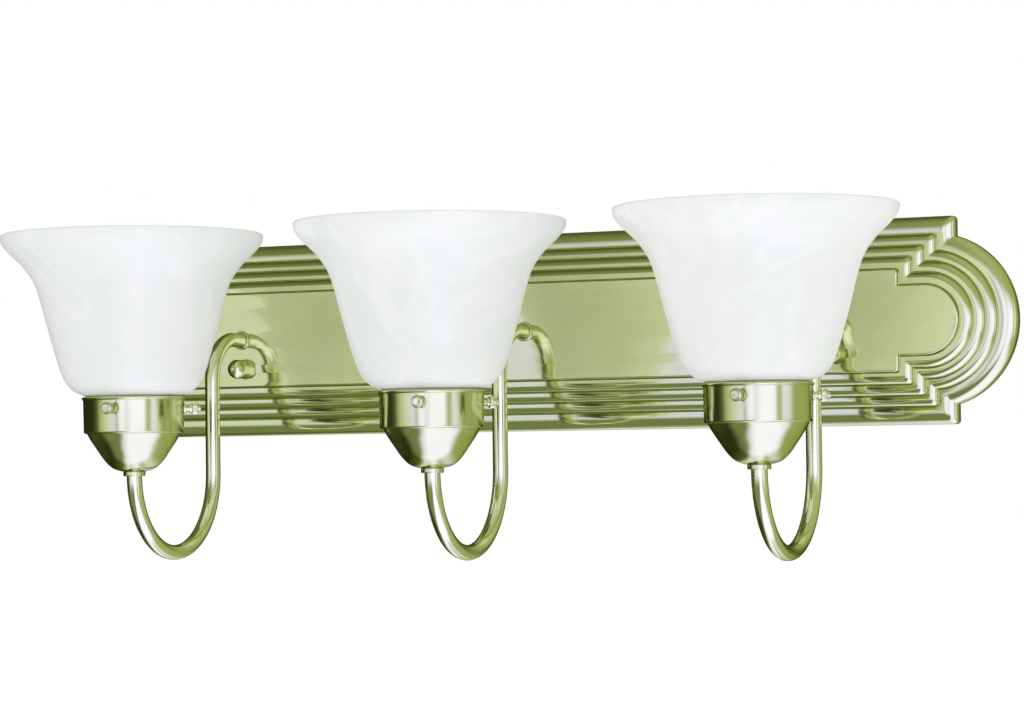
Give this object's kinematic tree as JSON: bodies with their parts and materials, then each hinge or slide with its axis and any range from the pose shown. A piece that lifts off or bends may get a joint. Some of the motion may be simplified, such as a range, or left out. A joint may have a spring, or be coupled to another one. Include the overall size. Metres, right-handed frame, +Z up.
{
  "type": "vanity light bar",
  "caption": "Bathroom vanity light: a stepped satin nickel back plate with round ends, hooked tubular arms, and upturned alabaster glass bell shades held by thumb screws.",
  "frame": {"origin": "centre of the outlet box slots on the wall plane, behind the centre of the back plate", "axes": "+X along the bar, +Y into the wall, +Z up; the lamps' side faces -Y"},
  "size_m": [0.6096, 0.2348, 0.1982],
  "materials": {
    "plate_nickel": "satin nickel with a warm green cast, half mirror",
    "tube_nickel": "satin nickel, brighter on round tube",
    "trim_nickel": "satin nickel, knurled and turned",
    "spun_nickel": "spun satin nickel",
    "zinc_steel": "zinc-plated steel, dull",
    "alabaster_glass": "opal white glass with faint alabaster swirls, satin",
    "porcelain": "glazed porcelain",
    "contact_brass": "plain brass",
    "green_paint": "green-dyed screw",
    "bare_copper": "bare copper wire",
    "black_insulation": "plastic insulation",
    "white_insulation": "plastic insulation",
    "connector_plastic": "moulded, ribbed plastic"
  },
  "bodies": {
    "fixture": {"back_plate": "plate_nickel", "arm_left": "tube_nickel", "arm_centre": "tube_nickel", "arm_right": "tube_nickel", "arm_wall_rings": "trim_nickel", "neck_rings": "trim_nickel", "cup_left": "spun_nickel", "cup_centre": "spun_nickel", "cup_right": "spun_nickel", "shade_holder_left": "spun_nickel", "shade_holder_centre": "spun_nickel", "shade_holder_right": "spun_nickel", "wall_bracket": "zinc_steel", "bracket_studs": "zinc_steel", "stud_nuts": "zinc_steel", "arm_lock_washers": "zinc_steel", "arm_lock_nuts": "zinc_steel", "holder_nuts": "zinc_steel", "socket_brackets": "zinc_steel", "socket_screws": "zinc_steel", "socket_body_left": "porcelain", "socket_body_centre": "porcelain", "socket_body_right": "porcelain", "centre_contacts": "contact_brass", "screw_shell_left": "contact_brass", "screw_shell_centre": "contact_brass", "screw_shell_right": "contact_brass", "ground_screw": "green_paint", "ground_wire": "bare_copper", "wire_black_left": "black_insulation", "wire_black_centre": "black_insulation", "wire_black_right": "black_insulation", "wire_white_left": "white_insulation", "wire_white_centre": "white_insulation", "wire_white_right": "white_insulation", "wire_connector_ground": "connector_plastic", "wire_connector_black": "connector_plastic", "wire_connector_white": "connector_plastic"},
    "shade_left": {"shade_left": "alabaster_glass", "shade_neck_left": "alabaster_glass"},
    "thumb_screw_left_front": {"thumb_screw_left_front": "trim_nickel"},
    "thumb_screw_left_right": {"thumb_screw_left_right": "trim_nickel"},
    "thumb_screw_left_left": {"thumb_screw_left_left": "trim_nickel"},
    "shade_centre": {"shade_centre": "alabaster_glass", "shade_neck_centre": "alabaster_glass"},
    "thumb_screw_centre_front": {"thumb_screw_centre_front": "trim_nickel"},
    "thumb_screw_centre_right": {"thumb_screw_centre_right": "trim_nickel"},
    "thumb_screw_centre_left": {"thumb_screw_centre_left": "trim_nickel"},
    "shade_right": {"shade_right": "alabaster_glass", "shade_neck_right": "alabaster_glass"},
    "thumb_screw_right_front": {"thumb_screw_right_front": "trim_nickel"},
    "thumb_screw_right_right": {"thumb_screw_right_right": "trim_nickel"},
    "thumb_screw_right_left": {"thumb_screw_right_left": "trim_nickel"},
    "cap_nut_left": {"cap_nut_left": "trim_nickel"},
    "cap_nut_right": {"cap_nut_right": "trim_nickel"}
  },
  "joints": [
    {"name": "shade_left_lift", "type": "slide", "parent": "fixture", "child": "shade_left", "axis": [0, 0, 1], "range_m": [0, 0.06]},
    {"name": "thumb_screw_left_front_back_out", "type": "slide", "parent": "fixture", "child": "thumb_screw_left_front", "axis": [0.1045, -0.9945, 0], "range_m": [0, 0.0035]},
    {"name": "thumb_screw_left_right_back_out", "type": "slide", "parent": "fixture", "child": "thumb_screw_left_right", "axis": [0.809, 0.5878, 0], "range_m": [0, 0.0035]},
    {"name": "thumb_screw_left_left_back_out", "type": "slide", "parent": "fixture", "child": "thumb_screw_left_left", "axis": [-0.9135, 0.4067, 0], "range_m": [0, 0.0035]},
    {"name": "shade_centre_lift", "type": "slide", "parent": "fixture", "child": "shade_centre", "axis": [0, 0, 1], "range_m": [0, 0.06]},
    {"name": "thumb_screw_centre_front_back_out", "type": "slide", "parent": "fixture", "child": "thumb_screw_centre_front", "axis": [0.225, -0.9744, 0], "range_m": [0, 0.0035]},
    {"name": "thumb_screw_centre_right_back_out", "type": "slide", "parent": "fixture", "child": "thumb_screw_centre_right", "axis": [0.7314, 0.682, 0], "range_m": [0, 0.0035]},
    {"name": "thumb_screw_centre_left_back_out", "type": "slide", "parent": "fixture", "child": "thumb_screw_centre_left", "axis": [-0.9563, 0.2924, 0], "range_m": [0, 0.0035]},
    {"name": "shade_right_lift", "type": "slide", "parent": "fixture", "child": "shade_right", "axis": [0, 0, 1], "range_m": [0, 0.06]},
    {"name": "thumb_screw_right_front_back_out", "type": "slide", "parent": "fixture", "child": "thumb_screw_right_front", "axis": [0.0175, -0.9998, 0], "range_m": [0, 0.0035]},
    {"name": "thumb_screw_right_right_back_out", "type": "slide", "parent": "fixture", "child": "thumb_screw_right_right", "axis": [0.8572, 0.515, 0], "range_m": [0, 0.0035]},
    {"name": "thumb_screw_right_left_back_out", "type": "slide", "parent": "fixture", "child": "thumb_screw_right_left", "axis": [-0.8746, 0.4848, 0], "range_m": [0, 0.0035]},
    {"name": "cap_nut_left_back_off", "type": "slide", "parent": "fixture", "child": "cap_nut_left", "axis": [0, -1, 0], "range_m": [0, 0.008]},
    {"name": "cap_nut_right_back_off", "type": "slide", "parent": "fixture", "child": "cap_nut_right", "axis": [0, -1, 0], "range_m": [0, 0.008]}
  ]
}
